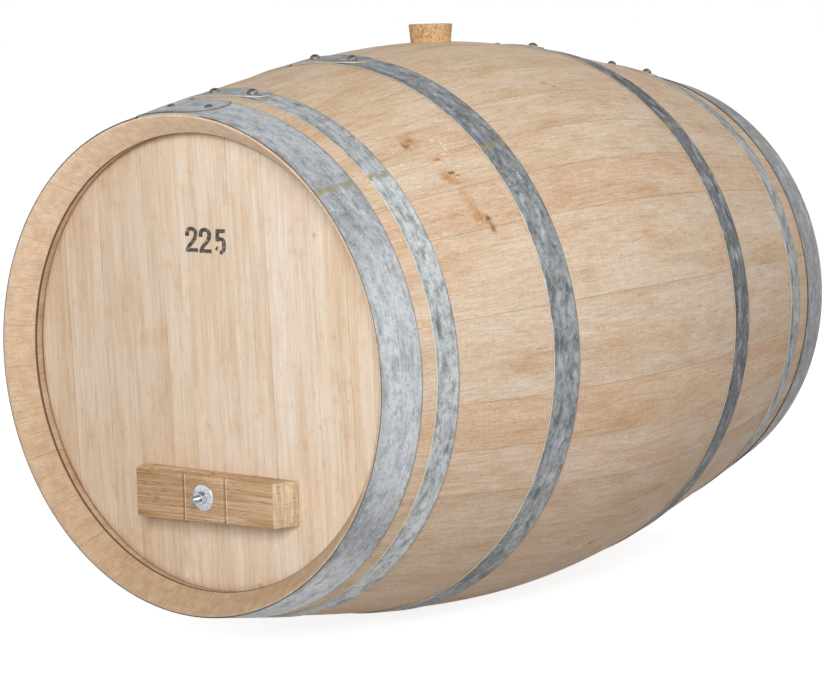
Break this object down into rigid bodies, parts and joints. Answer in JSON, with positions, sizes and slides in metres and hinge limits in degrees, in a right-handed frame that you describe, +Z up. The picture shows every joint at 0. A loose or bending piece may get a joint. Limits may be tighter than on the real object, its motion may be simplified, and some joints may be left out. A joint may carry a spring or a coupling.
{
  "type": "wine barrel",
  "caption": "Oak wine barrel lying on its bilge: bent staves in riveted galvanised hoops, boarded heads in a croze, cork bung on top, and a bar bolted across one head.",
  "frame": {"origin": "on the floor, under the middle of the bilge, where the barrel rests", "axes": "+Y along the barrel's axis, away from the head with the bar; +Z up through the bung; +X to the right seen from that head"},
  "size_m": [0.6948, 0.9568, 0.7161],
  "materials": {
    "stave_oak": "planed and sanded oak, untreated",
    "head_oak": "planed and sanded oak, untreated",
    "bar_oak": "sawn oak, untreated",
    "hoop_steel": "hot-dip galvanised strip, mottled",
    "zinc_steel": "bright zinc plate",
    "cork": "pressed cork granules",
    "seal_rubber": "matt"
  },
  "bodies": {
    "barrel": {"bung_stave": "stave_oak", "stave_right_01": "stave_oak", "stave_right_02": "stave_oak", "stave_right_03": "stave_oak", "stave_right_04": "stave_oak", "stave_right_05": "stave_oak", "stave_right_06": "stave_oak", "stave_right_07": "stave_oak", "stave_right_08": "stave_oak", "stave_right_09": "stave_oak", "stave_right_10": "stave_oak", "stave_right_11": "stave_oak", "stave_right_12": "stave_oak", "stave_right_13": "stave_oak", "bottom_stave": "stave_oak", "stave_left_01": "stave_oak", "stave_left_02": "stave_oak", "stave_left_03": "stave_oak", "stave_left_04": "stave_oak", "stave_left_05": "stave_oak", "stave_left_06": "stave_oak", "stave_left_07": "stave_oak", "stave_left_08": "stave_oak", "stave_left_09": "stave_oak", "stave_left_10": "stave_oak", "stave_left_11": "stave_oak", "stave_left_12": "stave_oak", "stave_left_13": "stave_oak", "front_board_1": "head_oak", "front_board_2": "head_oak", "front_board_3": "head_oak", "front_board_4": "head_oak", "front_board_5": "head_oak", "front_board_6": "head_oak", "front_board_7": "head_oak", "front_board_8": "head_oak", "back_board_1": "head_oak", "back_board_2": "head_oak", "back_board_3": "head_oak", "back_board_4": "head_oak", "back_board_5": "head_oak", "back_board_6": "head_oak", "back_board_7": "head_oak", "front_chime_hoop": "hoop_steel", "front_quarter_hoop": "hoop_steel", "front_bilge_hoop": "hoop_steel", "back_chime_hoop": "hoop_steel", "back_quarter_hoop": "hoop_steel", "back_bilge_hoop": "hoop_steel", "head_bar": "bar_oak", "bar_bolt": "zinc_steel", "bolt_seal": "seal_rubber"},
    "stopper": {"bung": "cork"},
    "washer": {"bar_washer": "zinc_steel"},
    "nut": {"bar_nut": "zinc_steel"}
  },
  "joints": [
    {"name": "bung_lift", "type": "slide", "parent": "barrel", "child": "stopper", "axis": [0, 0, 1], "range_m": [0, 0.08]},
    {"name": "washer_slide", "type": "slide", "parent": "barrel", "child": "washer", "axis": [0, -1, 0], "range_m": [0, 0.01]},
    {"name": "nut_turn", "type": "hinge", "parent": "washer", "child": "nut", "pos_m": [0.0145, -0.4634, 0.1991], "axis": [0, -1, 0], "range_deg": [0, 2880]}
  ],
  "couplings": [
    {"joint": "washer_slide", "follows": "nut_turn", "m_per_rad": 0.00019894}
  ]
}
